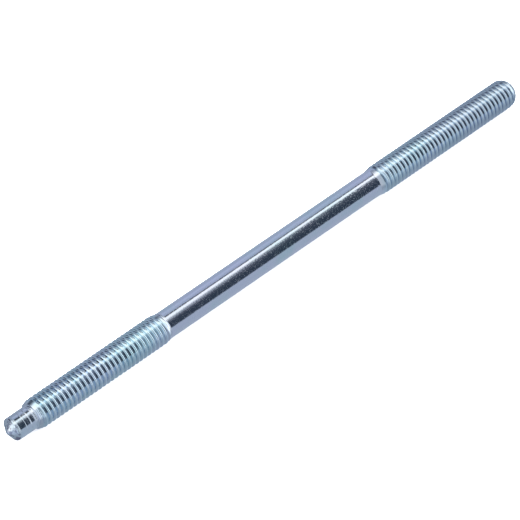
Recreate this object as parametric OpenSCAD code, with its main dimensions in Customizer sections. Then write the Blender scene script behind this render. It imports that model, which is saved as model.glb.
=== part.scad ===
// Cylinder head stud with a pilot point: one turned steel rod, threaded at both ends, with a plain shank between.
// It lies along X. The origin is on the axis where the full thread of the case end stops, which sits level with
// the deck of the crankcase, and +X runs to the nut end. Threads are drawn as their major diameter, with the
// tapers where they start and run out. All lengths are millimetres.

/* [Threads] */
// Major diameter of the thread at both ends
thread_d = 6; // [5.6:0.05:7]

/* [Pilot] */
// Diameter of the pilot, just under the root of the thread
pilot_d = 4.6; // [3.6:0.05:5.2]
// Length of the pilot from its tip to the shoulder
pilot_length = 5.75; // [3:0.05:12]
// Full angle of the cone on the pilot's end
pilot_point_angle = 120; // [90:5:150]
// Radius of the blunt nose on the cone
pilot_nose_r = 1.2; // [0.4:0.1:1.8]
// Radius of the edge between the cone and the pilot's side
pilot_edge_r = 0.4; // [0.1:0.05:0.8]
// Radius of the fillet where the pilot meets the shoulder
pilot_root_r = 0.3; // [0.05:0.05:0.6]

/* [Case end thread] */
// Length of the threaded case end, from the shoulder to the end of the run-out
case_thread_length = 31.85; // [12:0.05:60]
// Diameter at the start of the lead-in, next to the pilot
lead_in_d = 5.3; // [5.2:0.05:5.6]
// Length of the lead-in taper
lead_in_length = 1.1; // [0.4:0.1:3]
// Length of the run-out from the full thread down to the shank
case_runout_length = 1.6; // [0.5:0.1:4]

/* [Shank] */
// Diameter of the plain shank, about the pitch diameter of the thread
shank_d = 5.35; // [4.7:0.05:5.6]
// Length of the plain shank between the two run-outs
shank_length = 54; // [10:0.1:200]

/* [Nut end thread] */
// Length of the threaded nut end, from the start of its run-out to the end face
nut_thread_length = 38.4; // [12:0.1:90]
// Length of the run-out from the shank up to the full thread
nut_runout_length = 1.7; // [0.5:0.1:4]
// Diameter of the flat face on the nut end
end_face_d = 3.6; // [2.5:0.1:5.2]
// Radius of the round between the thread and the end face
end_round_r = 2.7; // [1.2:0.1:2.7]

/* [Hidden] */
$fn = 96;
arc_steps = 10;
zinc = [0.70, 0.75, 0.84];

thread_r = thread_d / 2;
pilot_r = pilot_d / 2;
lead_in_r = lead_in_d / 2;
shank_r = shank_d / 2;
end_face_r = end_face_d / 2;

// The fillet at the pilot's root is never taller than the shoulder that it meets
root_r = min(pilot_root_r, lead_in_r - pilot_r);
// Half angle of the cone, and the direction of its outward normal
cone_a = pilot_point_angle / 2;
cone_normal_a = 90 + cone_a;
// Angle on the end round at which the flat face cuts it
end_round_a = asin((end_face_r - thread_r + end_round_r) / end_round_r);

// Stations along the axis, from the deck of the crankcase
deck_x = 0;
shank_x = deck_x + case_runout_length;
shoulder_x = shank_x - case_thread_length;
tip_x = shoulder_x - pilot_length;
nut_thread_x = shank_x + shank_length;
end_x = nut_thread_x + nut_thread_length;

// Points of an arc in the plane of the section, where a point is [station, radius]
function arc(centre, r, from_a, to_a) = [
    for (i = [0:arc_steps])
        let (a = from_a + (to_a - from_a) * i / arc_steps)
            centre + r * [cos(a), sin(a)]
];

// Blunt nose on the axis, tangent to the cone
function nose() = arc([tip_x + pilot_nose_r, 0], pilot_nose_r, 180, cone_normal_a);

// Round between the cone and the side of the pilot, tangent to both
function pilot_edge() =
    let (
        rise = pilot_r - pilot_edge_r + (pilot_edge_r - pilot_nose_r) * cos(cone_a),
        run = rise / tan(cone_a) + pilot_nose_r + (pilot_edge_r - pilot_nose_r) * sin(cone_a)
    )
        arc([tip_x + run, pilot_r - pilot_edge_r], pilot_edge_r, cone_normal_a, 90);

// Fillet from the side of the pilot up the face of the shoulder
function pilot_root() = arc([shoulder_x - root_r, pilot_r + root_r], root_r, 270, 360);

// Case end thread from its lead-in to its run-out
function case_thread() = [
    [shoulder_x, lead_in_r],
    [shoulder_x + lead_in_length, thread_r],
    [deck_x, thread_r],
    [shank_x, shank_r]
];

// Nut end thread from its run-out to the round that ends it
function nut_thread() = concat(
    [
        [nut_thread_x, shank_r],
        [nut_thread_x + nut_runout_length, thread_r]
    ],
    arc([end_x - end_round_r * cos(end_round_a), thread_r - end_round_r], end_round_r, 90, end_round_a),
    [[end_x, 0]]
);

// Half section of the whole stud, from the tip to the end face
function section() = concat(nose(), pilot_edge(), pilot_root(), case_thread(), nut_thread());

module stud() {
    color(zinc)
        rotate([0, 90, 0])
            rotate_extrude()
                polygon([for (p = section()) [p[1], p[0]]]);
}

stud();
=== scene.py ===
import math

import bpy
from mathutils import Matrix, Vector


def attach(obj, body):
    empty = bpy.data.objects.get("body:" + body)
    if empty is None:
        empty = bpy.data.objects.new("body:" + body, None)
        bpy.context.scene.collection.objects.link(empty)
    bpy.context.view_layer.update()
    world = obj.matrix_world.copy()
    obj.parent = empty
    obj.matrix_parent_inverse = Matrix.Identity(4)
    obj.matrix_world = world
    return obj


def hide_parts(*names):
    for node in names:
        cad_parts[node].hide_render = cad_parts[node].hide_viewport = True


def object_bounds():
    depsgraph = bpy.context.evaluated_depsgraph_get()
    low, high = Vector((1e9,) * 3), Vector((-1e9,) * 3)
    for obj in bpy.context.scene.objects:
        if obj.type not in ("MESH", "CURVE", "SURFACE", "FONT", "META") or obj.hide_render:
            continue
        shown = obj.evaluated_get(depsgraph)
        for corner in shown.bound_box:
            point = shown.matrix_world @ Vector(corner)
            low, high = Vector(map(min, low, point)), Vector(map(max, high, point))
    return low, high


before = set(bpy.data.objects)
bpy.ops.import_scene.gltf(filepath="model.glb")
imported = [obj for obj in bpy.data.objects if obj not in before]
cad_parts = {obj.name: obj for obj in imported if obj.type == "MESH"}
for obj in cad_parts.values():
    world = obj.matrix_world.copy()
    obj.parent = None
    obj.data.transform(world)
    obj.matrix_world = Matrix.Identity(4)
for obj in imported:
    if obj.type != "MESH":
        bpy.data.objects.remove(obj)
cad_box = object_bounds()

MM = 0.001

# Sizes of the stud in millimetres, the same as in the part's source. Only the crests of the thread stay
# a hair below its nominal radius of 3 mm, as they do on a rolled thread.
THREAD_R = 2.985
PITCH = 1.0
PILOT_R = 2.3
PILOT_NOSE_R = 1.2
PILOT_EDGE_R = 0.4
PILOT_ROOT_R = 0.3
CONE_ANGLE = math.radians(60)
LEAD_IN_R = 2.65
LEAD_IN_LENGTH = 1.1
SHANK_R = 2.675
NUT_RUNOUT_LENGTH = 1.7
END_FACE_R = 1.8
END_ROUND_R = 2.7

# Stations along the axis in millimetres, from the deck of the crankcase
TIP_X = -36.0
SHOULDER_X = -30.25
CASE_FULL_X = SHOULDER_X + LEAD_IN_LENGTH
DECK_X = 0.0
SHANK_X = 1.6
NUT_RUNOUT_X = 55.6
NUT_FULL_X = NUT_RUNOUT_X + NUT_RUNOUT_LENGTH
END_X = 94.0

# Form of the rolled metric thread in pitches: radius of the crowned crest, half width of the root flat and
# width of the bevel beside it
FLANK_ANGLE = math.radians(30)
CROWN_R = 0.45
CROWN_TURNS = [math.radians(a) for a in (0, 10, 20, 30)]
ROOT_FLAT = 0.04
BEVEL = 0.05
BEVEL_DROP = BEVEL * math.tan(FLANK_ANGLE)
CROWN = [(CROWN_R * math.sin(a), CROWN_R * (1 - math.cos(a))) for a in CROWN_TURNS]
FLANK_DROP = (0.5 - ROOT_FLAT - BEVEL - CROWN[-1][0]) / math.tan(FLANK_ANGLE)
ROOT_DROP = CROWN[-1][1] + FLANK_DROP
# Places from a crest to the next root, each with its drop below the crest
THREAD_FORM = CROWN + [(0.5 - ROOT_FLAT - BEVEL, ROOT_DROP), (0.5 - ROOT_FLAT, ROOT_DROP + BEVEL_DROP)]

# Turn of each thread about the axis, in pitches, read from the places of its grooves
CASE_PHASE = 0.705
NUT_PHASE = 0.43
# Stations between which the first groove of each thread deepens to its full depth
CASE_GROOVE_START = SHOULDER_X + 0.1
CASE_GROOVE_FULL = CASE_FULL_X
NUT_GROOVE_START = NUT_RUNOUT_X + 0.9
NUT_GROOVE_FULL = NUT_FULL_X + 0.1
# Station in the run-out of the case thread from which its grooves rise to the shank
CASE_RISE_X = 1.2
# Stretch of each thread over which its grooves grow shallower towards the shank, and the share they lose
CASE_FADE = (-18.0, -3.0, 0.16)
NUT_FADE = (67.0, 57.0, 0.10)

# Turning marks as a place and a depth: stations on the pilot's side and on the lead-in, radii on the cone
LEAD_IN_MARKS = ((-29.98, 0.016), (-29.74, 0.022), (-29.44, 0.020))
SIDE_MARKS = (
    (-34.55, 0.012),
    (-34.42, 0.012),
    (-32.99, 0.010),
    (-32.46, 0.007),
    (-31.95, 0.011),
    (-31.83, 0.011),
    (-31.2, 0.006),
    (-30.95, 0.012),
    (-30.82, 0.012),
    (-30.69, 0.012),
)
CONE_MARKS = ((1.55, 0.02), (1.75, 0.02), (1.93, 0.02))
# Half width of a turning mark, and its form as places in half widths with the share of the depth
MARK_WIDTH = 0.058
MARK_FORM = ((-1.0, 0.0), (-0.6, 0.0), (0.0, 1.0), (0.6, 0.0), (1.0, 0.0))

# Length over which the shank blends into the run-outs at its ends
BLEND = 0.15

# Fineness of the mesh, and the angle from which an edge is sharp
SEGMENTS = 80
ARC_STEPS = 8
FINE_STEP = 0.06
SHARP_ANGLE = math.radians(25)
# Turns by which a helix is laid out beyond its ends, and steps in a metre to which points are compared
SPARE_TURNS = 2
POINT_STEPS = 1e8

# Tints of the zinc over a slow drift, as a level of the noise and a colour: plain stretches and threads
DRIFT_SCALE = 0.16
LAVENDER = ((0.30, (0.64, 0.755, 0.820)), (0.46, (0.69, 0.750, 0.840)), (0.60, (0.72, 0.745, 0.865)))
TEAL = ((0.30, (0.57, 0.755, 0.825)), (0.46, (0.605, 0.755, 0.850)), (0.60, (0.645, 0.745, 0.870)))
# Darker, greyer tint of the nut thread, painted shade that dims its reflections: its share everywhere, the
# share that the far half adds, and where that grows
NUT_SHADE_TINT = (0.55, 0.64, 0.75, 1.0)
NUT_SHADE_SHARE = 0.25
NUT_FAR_SHADE_SHARE = 0.60
NUT_FAR_SHADE_X = (64.0, 84.0)
# Stain and painted shade on the pilot's cone: mottles all over it, and a painted dark reflection on the lower
# half of its edge
STAIN_AND_SHADE_TINT = (0.22, 0.21, 0.32, 1.0)
CONE_FADE_X = (-34.4, -34.8)
MOTTLE_SCALE = 2.2
MOTTLE_LEVELS = (0.50, 0.62)
MOTTLE_SHARE = 0.5
# Painted dark reflection on the lower half of the cone's edge: where it starts and ends along the axis, how
# it grows downwards, and its share
EDGE_START_X = (-35.35, -35.1)
EDGE_END_X = (-34.6, -34.8)
EDGE_FADE_Z = (0.0, -0.45)
EDGE_SHADE_SHARE = 0.9
# Grain, streaks that are drawn out along the axis, and dull specks on the plain stretches
GRAIN_SCALE = 2.6
GRAIN_LEVELS = (0.3, 0.7)
STREAK_SCALE = 3.0
STREAK_STRETCH = (0.05, 1.0, 1.0)
STREAK_SHARE = 0.35
SPECK_SCALE = 5.0
SPECK_LEVELS = (0.53, 0.66)
ROUGHNESS = (0.045, 0.085)
SPECK_ROUGHNESS = 0.18
# Strength of the relief on the threads, what the plain stretches and the cone add to it, and its depth
RELIEF = 0.06
RELIEF_PLAIN = 0.12
RELIEF_CONE = 0.50
RELIEF_DEPTH = 0.04 * MM

# Floor, with half its width in metres, and its light
FLOOR_HALF = 3.0
FLOOR_COLOUR = (0.93, 0.93, 0.93, 1.0)
FLOOR_ROUGHNESS = 0.9
FLOOR_LIGHT_ENERGY = 11.0
FLOOR_LIGHT_ANGLE = math.radians(150)

# Colours of the studio that the metal mirrors, from the brightest to the darkest
SHEEN = (1.78, 1.88, 1.96)
WARM = (1.64, 1.61, 1.52)
WHITE = (1.46, 1.50, 1.50)
BRIGHT = (1.24, 1.38, 1.46)
PALE = (1.00, 1.12, 1.18)
SOFT = (0.66, 0.71, 0.76)
PAPER = (0.62, 0.70, 0.86)
FAR_BACK = (0.60, 0.68, 0.86)
HAZE = (0.485, 0.560, 0.670)
BACK = (0.47, 0.53, 0.68)
MIST = (0.37, 0.43, 0.51)
MAUVE = (0.38, 0.40, 0.47)
GLOW = (0.36, 0.40, 0.46)
DIM = (0.17, 0.20, 0.24)
DUSK = (0.085, 0.10, 0.135)
SHADE = (0.08, 0.10, 0.14)
DARK = (0.038, 0.056, 0.083)
GAP = (0.04, 0.05, 0.07)
# Share of each colour that a ramp holds, and the strength of the whole studio
RAMP_SHARE = 0.5
STUDIO_STRENGTH = 1.735

# Bands of the studio as degrees and a colour, where 0 is the front, 90 straight up and 180 the back.
# The first three are stretches that several bands share: the dark window in front, once for the near
# parts and once for the far ones, and the wall behind.
WINDOW = [(2, HAZE), (9, DARK), (40, DARK)]
FAR_WINDOW = [(1.2, HAZE), (7.5, DARK), (40, DARK)]
WALL = [(111, GAP), (115, BACK), (142, FAR_BACK), (168, BACK)]
TIP = [(-150, MAUVE), (-110, PAPER), (-40, PAPER), (20, PALE), (90, PALE), (150, MAUVE)]
LOW = [(-10, MIST), (10, GLOW), (70, GLOW), (84, WHITE), (112, WHITE), (124, SOFT)]
LOW += [(130, GLOW), (142, SHADE), (156, SHADE), (172, HAZE)]
LEFT = [(-10, MIST), (10, BRIGHT), (70, BRIGHT), (84, WARM), (104, WARM), (116, BRIGHT)]
LEFT += [(130, GLOW), (142, SHADE), (158, SHADE), (172, HAZE)]
COLLAR = [(-20, MIST), (0, SOFT), (70, SOFT), (84, WARM), (100, WARM)]
COLLAR += [(118, SOFT), (136, GLOW), (150, DIM), (175, HAZE)]
GLEAM = WINDOW + [(58, DARK), (69, DUSK), (76, SOFT), (81, WARM), (96, WARM), (102, GLOW)]
GLEAM += [(107, GAP), (124, GAP), (133, BACK), (146, FAR_BACK), (168, BACK)]
PILOT = [(-180, MIST), (-150, HAZE)] + WINDOW + [(46, DARK), (62, DUSK), (74, GLOW), (86, PALE), (97, PALE)]
PILOT += [(103, GAP), (118, GAP), (121, BACK), (138, FAR_BACK), (150, BACK), (164, MIST)]
CREST = WINDOW + [(54, DUSK), (65, GLOW), (74, SOFT), (82, WHITE), (99, WHITE), (106, GAP)] + WALL
NEAR = WINDOW + [(57, DUSK), (68, GLOW), (77, SOFT), (85, WHITE), (99, WHITE), (106, GAP)] + WALL
FAR = FAR_WINDOW + [(70, DUSK), (79, DIM), (84, GLOW), (91, WHITE), (103, WHITE), (107, GAP)] + WALL
FLASH = FAR_WINDOW + [(66, DUSK), (76, DIM), (81, SOFT), (87, SHEEN), (101, SHEEN)]
FLASH += [(106, GAP), (114, GAP), (120, BACK)]
SLOT = WINDOW + [(52, DUSK), (62, GLOW), (76, WARM), (108, WARM), (122, SOFT), (142, MAUVE)]
RIGHT = [(-60, MIST), (-20, PALE), (0, SHEEN), (70, SHEEN), (84, WARM), (114, WARM)]
RIGHT += [(130, SOFT), (142, GLOW), (152, DIM), (175, HAZE)]

# Zones of the studio along the X of a mirrored direction: where each starts, where it is full, and its bands.
# What lies before the first zone has the bands TIP, which the pilot's cone mirrors.
ZONES = (
    # Rounded edges and the lead-in
    (-0.85, -0.70, LOW),
    (-0.30, 0.04, LEFT),
    # Run-out of the nut thread
    (0.10, 0.16, COLLAR),
    # Far grooves of the nut thread
    (0.26, 0.33, GLEAM),
    # Side of the pilot
    (0.386, 0.399, PILOT),
    # Crests of the case thread
    (0.414, 0.430, CREST),
    # Shank from its near end to its far end
    (0.447, 0.455, NEAR),
    (0.451, 0.516, FAR),
    # Crests of the nut thread
    (0.531, 0.549, FLASH),
    # Grooves of the case thread
    (0.548, 0.572, SLOT),
    # Sides of the ridges, with the run-out of the case thread between them
    (0.61, 0.66, RIGHT),
    (0.74, 0.78, COLLAR),
    (0.84, 0.88, RIGHT),
)
# Small white light beside the pilot's end: its direction, and the cosines between which it grows
SIDE_LIGHT = (-0.978, 0.206, 0.0)
SIDE_LIGHT_GROWS = (0.955, 0.985)

# Camera, whose lens and distance follow the shrinking of the pitch along the stud in the photograph
CAMERA_AZIMUTH = math.radians(-43.95)
CAMERA_ELEVATION = math.radians(45.16)
CAMERA_DISTANCE = 595.4 * MM
CAMERA_TARGET = Vector((26.1, 0.0, 0.0)) * MM
SENSOR_WIDTH = 36.0
LENS = 221.6
# Nearest and farthest distance that the camera sees, in metres
CLIP = (0.01, 20.0)


def share_of(start, end, value):
    """Share of the way from start to end at which a value lies, from 0 to 1."""
    return min(max((value - start) / (end - start), 0.0), 1.0)


def smooth_step(low, high, value):
    """Goes smoothly from 0 at low to 1 at high."""
    share = share_of(low, high, value)
    return share * share * (3 - 2 * share)


def slope(start, end, x):
    """Radius at a station on a cone between two points of the section, and level beyond them."""
    return start[1] + (end[1] - start[1]) * share_of(start[0], end[0], x)


def thread_drop(turn):
    """Drop below the crest, in pitches, at a place that is counted in pitches from a crest."""
    away = abs(turn - round(turn))
    drop = 0.0
    for (start, high), (end, low) in zip(THREAD_FORM, THREAD_FORM[1:]):
        drop += (low - high) * share_of(start, end, away)
    return drop


def thread_groove(x, angle, phase, fade):
    """Depth of the right-hand groove at a station and at an angle about the axis."""
    turn = x / PITCH - angle / math.tau - phase
    start, end, loss = fade
    return thread_drop(turn) * PITCH * (1 - loss * smooth_step(start, end, x))


def thread_marks():
    """Places in one pitch, counted from a crest, at which the thread's form bends."""
    half = [place for place, drop in THREAD_FORM]
    return half + [1 - place for place in half[:0:-1]]


def arc(centre_x, centre_r, radius, start, end, steps=ARC_STEPS):
    """Points of an arc in the plane of the section, where a point is a station and a radius."""
    angles = [start + (end - start) * i / steps for i in range(steps + 1)]
    return [(centre_x + radius * math.cos(a), centre_r + radius * math.sin(a)) for a in angles]


def turning_mark(place, rise, depth):
    """Shallow groove at a point of the section, where the section climbs at the angle rise."""
    along = (math.cos(rise), math.sin(rise))
    points = []
    for step, share in MARK_FORM:
        x = place[0] + MARK_WIDTH * step * along[0] + depth * share * along[1]
        radius = place[1] + MARK_WIDTH * step * along[1] - depth * share * along[0]
        points.append((x, radius))
    return points


def pilot_section():
    """Nose, cone, rounded edge and side of the pilot, up to the fillet at its root."""
    normal = math.pi / 2 + CONE_ANGLE
    change = PILOT_EDGE_R - PILOT_NOSE_R
    rise = PILOT_R - PILOT_EDGE_R + change * math.cos(CONE_ANGLE)
    run = rise / math.tan(CONE_ANGLE) + PILOT_NOSE_R + change * math.sin(CONE_ANGLE)
    nose = arc(TIP_X + PILOT_NOSE_R, 0, PILOT_NOSE_R, math.pi, normal)
    edge = arc(TIP_X + run, PILOT_R - PILOT_EDGE_R, PILOT_EDGE_R, normal, math.pi / 2)
    side = [point for x, depth in SIDE_MARKS for point in turning_mark((x, PILOT_R), 0.0, depth)]
    cone = []
    for radius, depth in CONE_MARKS:
        station = nose[-1][0] + (radius - nose[-1][1]) / math.tan(CONE_ANGLE)
        cone += turning_mark((station, radius), CONE_ANGLE, depth)
    return nose[1:] + cone + edge + side


def shoulder_section():
    """Fillet at the pilot's root, the shoulder and the lead-in taper of the thread."""
    fillet = arc(SHOULDER_X - PILOT_ROOT_R, PILOT_R + PILOT_ROOT_R, PILOT_ROOT_R, -math.pi / 2, 0)
    steps = round(LEAD_IN_LENGTH / FINE_STEP)
    lead_in = []
    for i in range(steps + 1):
        share = i / steps
        x = SHOULDER_X + LEAD_IN_LENGTH * share
        depth = sum(deep * max(1 - abs(x - place) / MARK_WIDTH, 0.0) for place, deep in LEAD_IN_MARKS)
        lead_in.append((x, LEAD_IN_R + (THREAD_R - LEAD_IN_R) * share - depth))
    return fillet + lead_in


def end_section():
    """Round between the nut thread and the flat face on its end."""
    face_angle = math.asin((END_FACE_R - THREAD_R + END_ROUND_R) / END_ROUND_R)
    centre_x = END_X - END_ROUND_R * math.cos(face_angle)
    steps = round(END_ROUND_R / FINE_STEP)
    return arc(centre_x, THREAD_R - END_ROUND_R, END_ROUND_R, math.pi / 2, face_angle, steps)


def case_radius(x, angle):
    """Case thread, whose crests follow the cone of its run-out and whose grooves rise to the shank."""
    groove = thread_groove(x, angle, CASE_PHASE, CASE_FADE)
    full = THREAD_R - groove * smooth_step(CASE_GROOVE_START, CASE_GROOVE_FULL, x)
    cone = slope((DECK_X, THREAD_R), (SHANK_X, SHANK_R), x)
    return min(cone, full + (SHANK_R - full) * smooth_step(CASE_RISE_X, SHANK_X, x))


def nut_cone(x):
    """Radius of the crests of the nut thread, from the cone of its run-out on."""
    return slope((NUT_RUNOUT_X, SHANK_R), (NUT_FULL_X, THREAD_R), x)


def nut_radius(x, angle):
    """Nut thread, whose first groove deepens from nothing on the cone of its run-out."""
    groove = thread_groove(x, angle, NUT_PHASE, NUT_FADE)
    return nut_cone(x) - groove * smooth_step(NUT_GROOVE_START, NUT_GROOVE_FULL, x)


class Skin:
    """Vertices and faces of a closed surface round the X axis, where equal points become one vertex."""

    def __init__(self):
        self.vertices = []
        self.faces = []
        self.index = {}
        self.angles = [math.tau * j / SEGMENTS for j in range(SEGMENTS)]

    def vertex(self, x, radius, angle):
        """Number of the vertex at a station, a radius and an angle, made if it is new."""
        point = (x * MM, -radius * math.sin(angle) * MM, radius * math.cos(angle) * MM)
        key = tuple(round(c * POINT_STEPS) for c in point)
        if key not in self.index:
            self.index[key] = len(self.vertices)
            self.vertices.append(point)
        return self.index[key]

    def face(self, corners):
        """Adds a face, without the corners that fell together."""
        kept = [c for i, c in enumerate(corners) if c != corners[i - 1]]
        if len(set(kept)) > 2:
            self.faces.append(kept)

    def strip(self, columns, shift=0):
        """Joins neighbouring columns of vertices, where the last meets the first moved on by shift."""
        rows = len(columns[0])
        for j in range(SEGMENTS):
            here = columns[j]
            last = j == SEGMENTS - 1
            there = columns[0] if last else columns[j + 1]
            move = shift if last else 0
            for i in range(rows - 1):
                low = there[min(i + move, rows - 1)]
                high = there[min(i + 1 + move, rows - 1)]
                self.face([here[i], low, high, here[i + 1]])

    def rings(self, section, limit=None):
        """Surface through plane rings, where limit may cut a ring lower at an angle."""
        columns = []
        for angle in self.angles:
            column = []
            for x, radius in section:
                cut = min(radius, limit(x, angle)) if limit else radius
                column.append(self.vertex(x, cut, angle))
            columns.append(column)
        self.strip(columns)

    def helix(self, start, end, phase, radius_at):
        """Threaded surface from one plane to another, whose lines follow the helix between them."""
        marks = thread_marks()
        first = math.floor(start / PITCH) - SPARE_TURNS
        turns = math.ceil(end / PITCH) + SPARE_TURNS - first
        places = [(first + turn + mark + phase) * PITCH for turn in range(turns) for mark in marks]
        columns = []
        for angle in self.angles:
            column = []
            for place in places:
                x = min(max(place + PITCH * angle / math.tau, start), end)
                column.append(self.vertex(x, radius_at(x, angle), angle))
            columns.append(column)
        self.strip(columns, len(marks))

    def cap(self, x, rim):
        """Closes the surface from a rim, given as a point of the section, to the axis at a station."""
        middle = self.vertex(x, 0, 0)
        ring = [self.vertex(*rim, angle) for angle in self.angles]
        for j in range(SEGMENTS):
            corners = [ring[j], ring[(j + 1) % SEGMENTS], middle]
            self.face(corners if x > 0 else corners[::-1])


def stud_skin():
    """Surface of the whole stud, from the pilot's tip to the end face."""
    pilot = pilot_section()
    shoulder = shoulder_section()
    shank = [(SHANK_X, SHANK_R), (SHANK_X + BLEND, SHANK_R), (NUT_RUNOUT_X - BLEND, SHANK_R)]
    runout = [(x, nut_cone(x)) for x in (NUT_RUNOUT_X, NUT_RUNOUT_X + BLEND, NUT_GROOVE_START)]
    end = end_section()
    skin = Skin()
    skin.cap(TIP_X, pilot[0])
    skin.rings(pilot + shoulder[:1])
    skin.rings(shoulder, case_radius)
    skin.helix(CASE_FULL_X, SHANK_X, CASE_PHASE, case_radius)
    skin.rings(shank + runout)
    skin.helix(NUT_GROOVE_START, end[0][0], NUT_PHASE, nut_radius)
    skin.rings(end, nut_radius)
    skin.cap(END_X, end[-1])
    return skin


def build_stud():
    """The whole stud as one closed mesh."""
    skin = stud_skin()
    mesh = bpy.data.meshes.new("threaded_stud")
    mesh.from_pydata(skin.vertices, [], skin.faces)
    mesh.validate()
    mesh.shade_smooth()
    mesh.set_sharp_from_angle(angle=SHARP_ANGLE)
    stud = bpy.data.objects.new("threaded_stud", mesh)
    bpy.context.collection.objects.link(stud)
    return stud


class Nodes:
    """A node tree with short calls to add and link its nodes."""

    def __init__(self, tree):
        self.tree = tree
        tree.nodes.clear()

    def add(self, kind, inputs=None, **settings):
        """Adds a node, sets it, and links or sets its inputs by name or number."""
        node = self.tree.nodes.new(kind)
        for name, value in settings.items():
            setattr(node, name, value)
        for name, value in (inputs or {}).items():
            if isinstance(value, bpy.types.NodeSocket):
                self.tree.links.new(value, node.inputs[name])
            else:
                node.inputs[name].default_value = value
        return node

    def math(self, operation, *values):
        """Result of one sum on sockets and numbers."""
        node = self.add("ShaderNodeMath", dict(enumerate(values)), operation=operation)
        return node.outputs[0]

    def ramp(self, factor, stops):
        """Colour ramp through the stops, each a position and a colour."""
        node = self.add("ShaderNodeValToRGB", {"Fac": factor})
        elements = node.color_ramp.elements
        while len(elements) < len(stops):
            elements.new(1.0)
        for element, (position, colour) in zip(elements, stops):
            element.position = position
            element.color = (*colour, 1.0)
        return node.outputs["Color"]

    def bands(self, place, stops):
        """Colour ramp over the turn about the axis, with stops in degrees."""
        return self.ramp(place, [(0.5 + degrees / 360, ramp_colour(colour)) for degrees, colour in stops])

    def step(self, value, start, end):
        """Share that goes smoothly from 0 at start to 1 at end."""
        inputs = {"Value": value, "From Min": start, "From Max": end}
        return self.add("ShaderNodeMapRange", inputs, interpolation_type="SMOOTHSTEP").outputs["Result"]

    def spread(self, value, levels, results):
        """Moves a value evenly from a range of levels to a range of results."""
        names = ("Value", "From Min", "From Max", "To Min", "To Max")
        inputs = dict(zip(names, (value, *levels, *results)))
        return self.add("ShaderNodeMapRange", inputs).outputs["Result"]

    def noise(self, place, scale, detail):
        """Level of a noise at a place."""
        inputs = {"Vector": place, "Scale": scale, "Detail": detail}
        return self.add("ShaderNodeTexNoise", inputs).outputs["Fac"]

    def mix(self, share, first, second):
        """Colour between two others, on the sockets of the node that hold colours."""
        return self.add("ShaderNodeMix", {0: share, 6: first, 7: second}, data_type="RGBA").outputs[2]


def ramp_colour(colour):
    """Colour of the studio as a ramp holds it."""
    return [c * RAMP_SHARE for c in colour]


def plain_stretches(nodes, station):
    """Share of a place that lies on the pilot or on the shank."""
    pilot = nodes.step(station, CASE_FULL_X, SHOULDER_X)
    shank_start = nodes.step(station, DECK_X, SHANK_X)
    shank_end = nodes.step(station, NUT_FULL_X, NUT_RUNOUT_X)
    return nodes.math("MAXIMUM", pilot, nodes.math("MULTIPLY", shank_start, shank_end))


def zinc_tint_and_shade(nodes, in_mm, station, plain):
    """Lavender on the plain stretches, more teal on the threads, and darker and greyer along the nut thread,
    most on its far half, as painted shade.
    """
    drift = nodes.noise(in_mm, DRIFT_SCALE, detail=3.0)
    tint = nodes.mix(plain, nodes.ramp(drift, TEAL), nodes.ramp(drift, LAVENDER))
    # Painted shade: darker along the nut thread, most on its far half
    far_half_shade = nodes.math("MULTIPLY", nodes.step(station, *NUT_FAR_SHADE_X), NUT_FAR_SHADE_SHARE)
    nut_thread = nodes.step(station, NUT_RUNOUT_X, NUT_FULL_X)
    nut_shade = nodes.math("MULTIPLY_ADD", nut_thread, NUT_SHADE_SHARE, far_half_shade)
    return nodes.mix(nut_shade, tint, NUT_SHADE_TINT)


def cone_stain_and_shade(nodes, in_mm, axes, cone):
    """Share of the stain and the painted reflection: mottles on the cone, and a painted dark reflection on
    the lower half of its edge.
    """
    blots = nodes.step(nodes.noise(in_mm, MOTTLE_SCALE, detail=2.0), *MOTTLE_LEVELS)
    mottles = nodes.math("MULTIPLY", blots, cone)
    # Painted dark reflection on the lower half of the cone's edge
    edge_start = nodes.step(axes["X"], *EDGE_START_X)
    edge_end = nodes.step(axes["X"], *EDGE_END_X)
    edge = nodes.math("MULTIPLY", edge_start, edge_end)
    mark = nodes.math("MULTIPLY", edge, nodes.step(axes["Z"], *EDGE_FADE_Z))
    edge_shade_share = nodes.math("MULTIPLY", mark, EDGE_SHADE_SHARE)
    mottle_share = nodes.math("MULTIPLY", mottles, MOTTLE_SHARE)
    return nodes.math("MAXIMUM", edge_shade_share, mottle_share)


def zinc_roughness(nodes, in_mm, grain, plain):
    """Nearly a mirror, uneven with the grain, with dull specks on the plain stretches."""
    specks = nodes.step(nodes.noise(in_mm, SPECK_SCALE, detail=1.0), *SPECK_LEVELS)
    dull = nodes.math("MULTIPLY", specks, plain)
    even = nodes.spread(grain, GRAIN_LEVELS, ROUGHNESS)
    return nodes.math("MULTIPLY_ADD", dull, SPECK_ROUGHNESS, even)


def zinc_relief(nodes, in_mm, grain, plain, cone):
    """Normal over the fine grain and the drawn streaks, strongest on the cone and weakest on the threads."""
    drawn = nodes.add("ShaderNodeVectorMath", {0: in_mm, 1: STREAK_STRETCH}, operation="MULTIPLY").outputs[0]
    streaks = nodes.noise(drawn, STREAK_SCALE, detail=2.0)
    height = nodes.math("MULTIPLY_ADD", streaks, STREAK_SHARE, grain)
    on_cone = nodes.math("MULTIPLY_ADD", cone, RELIEF_CONE, RELIEF)
    strength = nodes.math("MULTIPLY_ADD", plain, RELIEF_PLAIN, on_cone)
    bump = nodes.add("ShaderNodeBump", {"Height": height, "Strength": strength, "Distance": RELIEF_DEPTH})
    return bump.outputs["Normal"]


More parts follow.
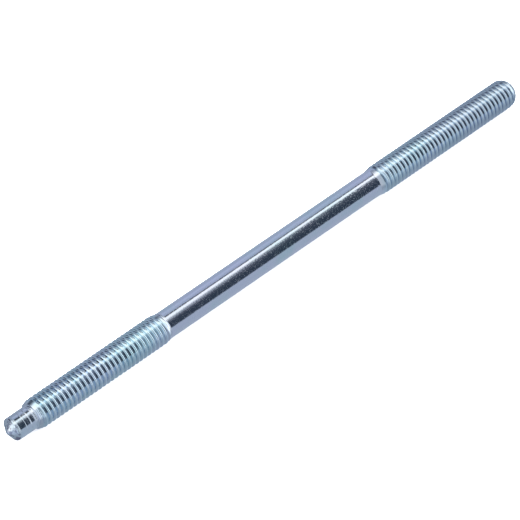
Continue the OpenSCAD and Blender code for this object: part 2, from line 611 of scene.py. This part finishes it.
def zinc_plating():
    """Bright blue-passivated zinc with a drifting tint and a fine grain, stained on the pilot's cone, with
    painted shade along the nut thread and a painted dark reflection on the lower half of the cone's edge.
    """
    material = bpy.data.materials.new("zinc_plated_steel")
    material.use_nodes = True
    nodes = Nodes(material.node_tree)
    place = nodes.add("ShaderNodeTexCoord").outputs["Object"]
    in_mm = nodes.add("ShaderNodeVectorMath", {0: place, "Scale": 1 / MM}, operation="SCALE").outputs[0]
    axes = nodes.add("ShaderNodeSeparateXYZ", {0: in_mm}).outputs
    plain = plain_stretches(nodes, axes["X"])
    cone = nodes.step(axes["X"], *CONE_FADE_X)
    grain = nodes.noise(in_mm, GRAIN_SCALE, detail=2.0)
    tint = zinc_tint_and_shade(nodes, in_mm, axes["X"], plain)
    inputs = {
        # Base colour with the cone's stain, the painted dark reflection on its edge and the painted shade
        # along the nut thread
        "Base Color": nodes.mix(cone_stain_and_shade(nodes, in_mm, axes, cone), tint, STAIN_AND_SHADE_TINT),
        "Metallic": 1.0,
        "Roughness": zinc_roughness(nodes, in_mm, grain, plain),
        "Normal": zinc_relief(nodes, in_mm, grain, plain, cone),
    }
    shader = nodes.add("ShaderNodeBsdfPrincipled", inputs)
    nodes.add("ShaderNodeOutputMaterial", {"Surface": shader.outputs["BSDF"]})
    return material


def floor_paper():
    """Matt pale paper."""
    material = bpy.data.materials.new("floor_paper")
    material.use_nodes = True
    shader = material.node_tree.nodes["Principled BSDF"]
    shader.inputs["Base Color"].default_value = FLOOR_COLOUR
    shader.inputs["Roughness"].default_value = FLOOR_ROUGHNESS
    shader.inputs["Specular IOR Level"].default_value = 0.0
    return material


def pale_floor(level):
    """Plain pale floor that the stud lies on, which the metal doesn't mirror."""
    half = FLOOR_HALF
    corners = [(-half, -half, level), (half, -half, level), (half, half, level), (-half, half, level)]
    mesh = bpy.data.meshes.new("floor")
    mesh.from_pydata(corners, [], [(0, 1, 2, 3)])
    mesh.materials.append(floor_paper())
    floor = bpy.data.objects.new("floor", mesh)
    floor.visible_glossy = False
    bpy.context.collection.objects.link(floor)


def floor_light():
    """Wide soft light from above for the floor alone."""
    data = bpy.data.lights.new("floor_light", "SUN")
    data.energy = FLOOR_LIGHT_ENERGY
    data.angle = FLOOR_LIGHT_ANGLE
    light = bpy.data.objects.new("floor_light", data)
    light.visible_glossy = False
    bpy.context.collection.objects.link(light)


def studio_light():
    """Soft dome that the metal mirrors: a strip overhead, pale sides and a dark window in front."""
    world = bpy.data.worlds.new("studio")
    world.use_nodes = True
    bpy.context.scene.world = world
    nodes = Nodes(world.node_tree)
    direction = nodes.add("ShaderNodeTexCoord").outputs["Generated"]
    axes = nodes.add("ShaderNodeSeparateXYZ", {0: direction}).outputs
    forward = nodes.math("MULTIPLY", axes["Y"], -1.0)
    turn = nodes.math("ARCTAN2", axes["Z"], forward)
    place = nodes.math("MULTIPLY_ADD", turn, 1 / math.tau, 0.5)
    level = nodes.bands(place, TIP)
    for start, end, bands in ZONES:
        level = nodes.mix(nodes.step(axes["X"], start, end), level, nodes.bands(place, bands))
    inputs = {0: direction, 1: SIDE_LIGHT}
    beside = nodes.add("ShaderNodeVectorMath", inputs, operation="DOT_PRODUCT").outputs["Value"]
    level = nodes.mix(nodes.step(beside, *SIDE_LIGHT_GROWS), level, (*ramp_colour(WHITE), 1.0))
    background = nodes.add("ShaderNodeBackground", {"Color": level, "Strength": STUDIO_STRENGTH})
    nodes.add("ShaderNodeOutputWorld", {"Surface": background.outputs["Background"]})


def photo_camera():
    """Camera at the photograph's place."""
    flat = math.cos(CAMERA_ELEVATION)
    sideways = math.sin(CAMERA_AZIMUTH) * flat
    forward = -math.cos(CAMERA_AZIMUTH) * flat
    back = Vector((sideways, forward, math.sin(CAMERA_ELEVATION)))
    data = bpy.data.cameras.new("photo_camera")
    data.sensor_width = SENSOR_WIDTH
    data.lens = LENS
    data.clip_start, data.clip_end = CLIP
    camera = bpy.data.objects.new("photo_camera", data)
    camera.location = CAMERA_TARGET + back * CAMERA_DISTANCE
    camera.rotation_euler = back.to_track_quat("Z", "Y").to_euler()
    bpy.context.collection.objects.link(camera)
    bpy.context.scene.camera = camera


def main():
    """Builds the piece and the studio."""
    stud = build_stud()
    stud.data.materials.append(zinc_plating())
    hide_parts("stud")
    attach(stud, "root")
    pale_floor(cad_box[0][2])
    floor_light()
    studio_light()
    photo_camera()
    bpy.context.scene.view_settings.view_transform = "Standard"


main()
